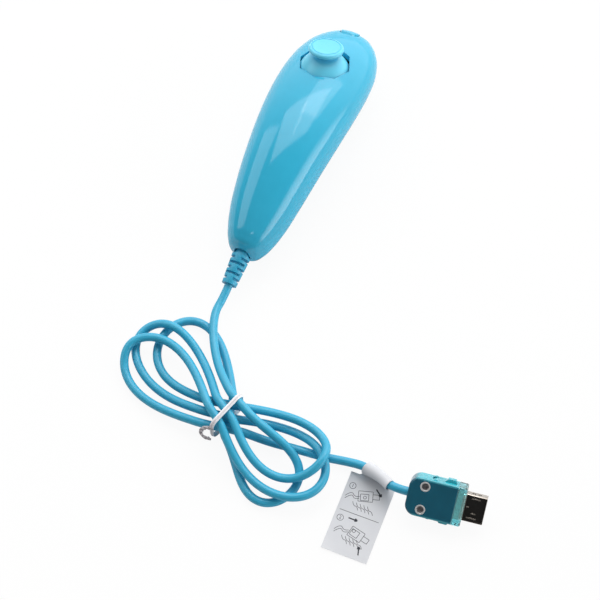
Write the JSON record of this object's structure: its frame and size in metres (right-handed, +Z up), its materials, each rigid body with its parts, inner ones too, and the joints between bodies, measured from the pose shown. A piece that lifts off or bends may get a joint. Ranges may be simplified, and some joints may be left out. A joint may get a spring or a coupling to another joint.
{
  "type": "motion controller wand",
  "caption": "Handheld controller with a thumb stick in an octagonal gate, nose button and trigger, ribbed strain relief, cord tied in a hank, paper tag and latching plug.",
  "frame": {"origin": "under the middle of the wand's own box, with relief and buttons but without the free cord, at table height", "axes": "+Z up from the table, +Y along the wand from tail to nose"},
  "size_m": [0.1572, 0.2111, 0.0375],
  "materials": {
    "shell_blue": "high gloss",
    "button_blue": "high gloss",
    "screw_steel": "plain",
    "shaft_nylon": "satin",
    "yoke_black": "satin",
    "base_black": "satin",
    "pot_green": "satin",
    "spring_steel": "plain",
    "board_green": "satin",
    "chip_black": "matte",
    "cord_blue": "satin",
    "pad_rubber": "matte",
    "tie_white": "satin",
    "tag_paper": "matte",
    "plug_teal": "clear, glossy",
    "contact_metal": "satin"
  },
  "bodies": {
    "body": {"upper_shell": "shell_blue", "lower_shell": "shell_blue", "shell_screws": "screw_steel", "stick_base": "base_black", "stick_cover": "screw_steel", "pitch_pot": "pot_green", "roll_pot": "pot_green", "spring_plate": "shaft_nylon", "centring_spring": "spring_steel", "main_board": "board_green", "board_chips": "chip_black", "board_screws": "screw_steel", "cable_socket": "shaft_nylon", "inner_cable": "cord_blue", "cord_clamp": "base_black", "trigger_pin": "screw_steel", "button_frame": "base_black", "rubber_pad": "pad_rubber", "button_board": "board_green", "strain_relief": "cord_blue", "cord_lead": "cord_blue", "cord_hank": "cord_blue", "cord_tail": "cord_blue", "twist_tie": "tie_white", "instruction_tag": "tag_paper", "plug_top": "plug_teal", "plug_bottom": "plug_teal", "plug_screws": "screw_steel", "plug_core": "cord_blue", "latch_pins": "screw_steel", "connector_shell": "contact_metal", "contact_insert": "chip_black", "contact_ribs": "contact_metal", "plug_board": "board_green"},
    "roll_carrier": {"roll_yoke": "yoke_black", "stick_pin": "screw_steel"},
    "stick": {"stick_cap": "shell_blue", "stick_shaft": "shaft_nylon"},
    "pitch_arch": {"pitch_yoke": "yoke_black"},
    "upper_button": {"c_button": "button_blue"},
    "lower_trigger": {"z_trigger": "button_blue"},
    "latch_far": {"left_latch": "plug_teal"},
    "latch_near": {"right_latch": "plug_teal"}
  },
  "joints": [
    {"name": "stick_roll", "type": "hinge", "parent": "body", "child": "roll_carrier", "pos_m": [-0.00048, 0.03487, 0.02143], "axis": [0.0422, 0.9205, -0.3884], "range_deg": [-18, 18], "stiffness_Nm_per_rad": 0.05},
    {"name": "stick_pitch", "type": "hinge", "parent": "roll_carrier", "child": "stick", "pos_m": [-0.00048, 0.03487, 0.02143], "axis": [0.9942, 0, 0.108], "range_deg": [-18, 18], "stiffness_Nm_per_rad": 0.05},
    {"name": "arch_pitch", "type": "hinge", "parent": "body", "child": "pitch_arch", "pos_m": [-0.00048, 0.03487, 0.02143], "axis": [0.9942, 0, 0.108], "range_deg": [-18, 18]},
    {"name": "upper_button_press", "type": "slide", "parent": "body", "child": "upper_button", "axis": [0, -1, 0], "range_m": [0, 0.0009], "stiffness_N_per_m": 1100},
    {"name": "lower_trigger_pull", "type": "hinge", "parent": "body", "child": "lower_trigger", "pos_m": [0.00061, 0.0572, 0.01137], "axis": [-0.9942, 0, -0.108], "range_deg": [0, 6], "stiffness_Nm_per_rad": 0.06},
    {"name": "latch_far_press", "type": "hinge", "parent": "body", "child": "latch_far", "pos_m": [0.10939, -0.10923, 0.01159], "axis": [-0.0974, 0.6079, -0.788], "range_deg": [0, 4.5], "stiffness_Nm_per_rad": 0.3},
    {"name": "latch_near_press", "type": "hinge", "parent": "body", "child": "latch_near", "pos_m": [0.11098, -0.11919, 0.00371], "axis": [0.0974, -0.6079, 0.788], "range_deg": [0, 4.5], "stiffness_Nm_per_rad": 0.3}
  ],
  "couplings": [
    {"joint": "arch_pitch", "follows": "stick_pitch", "ratio": 1}
  ]
}
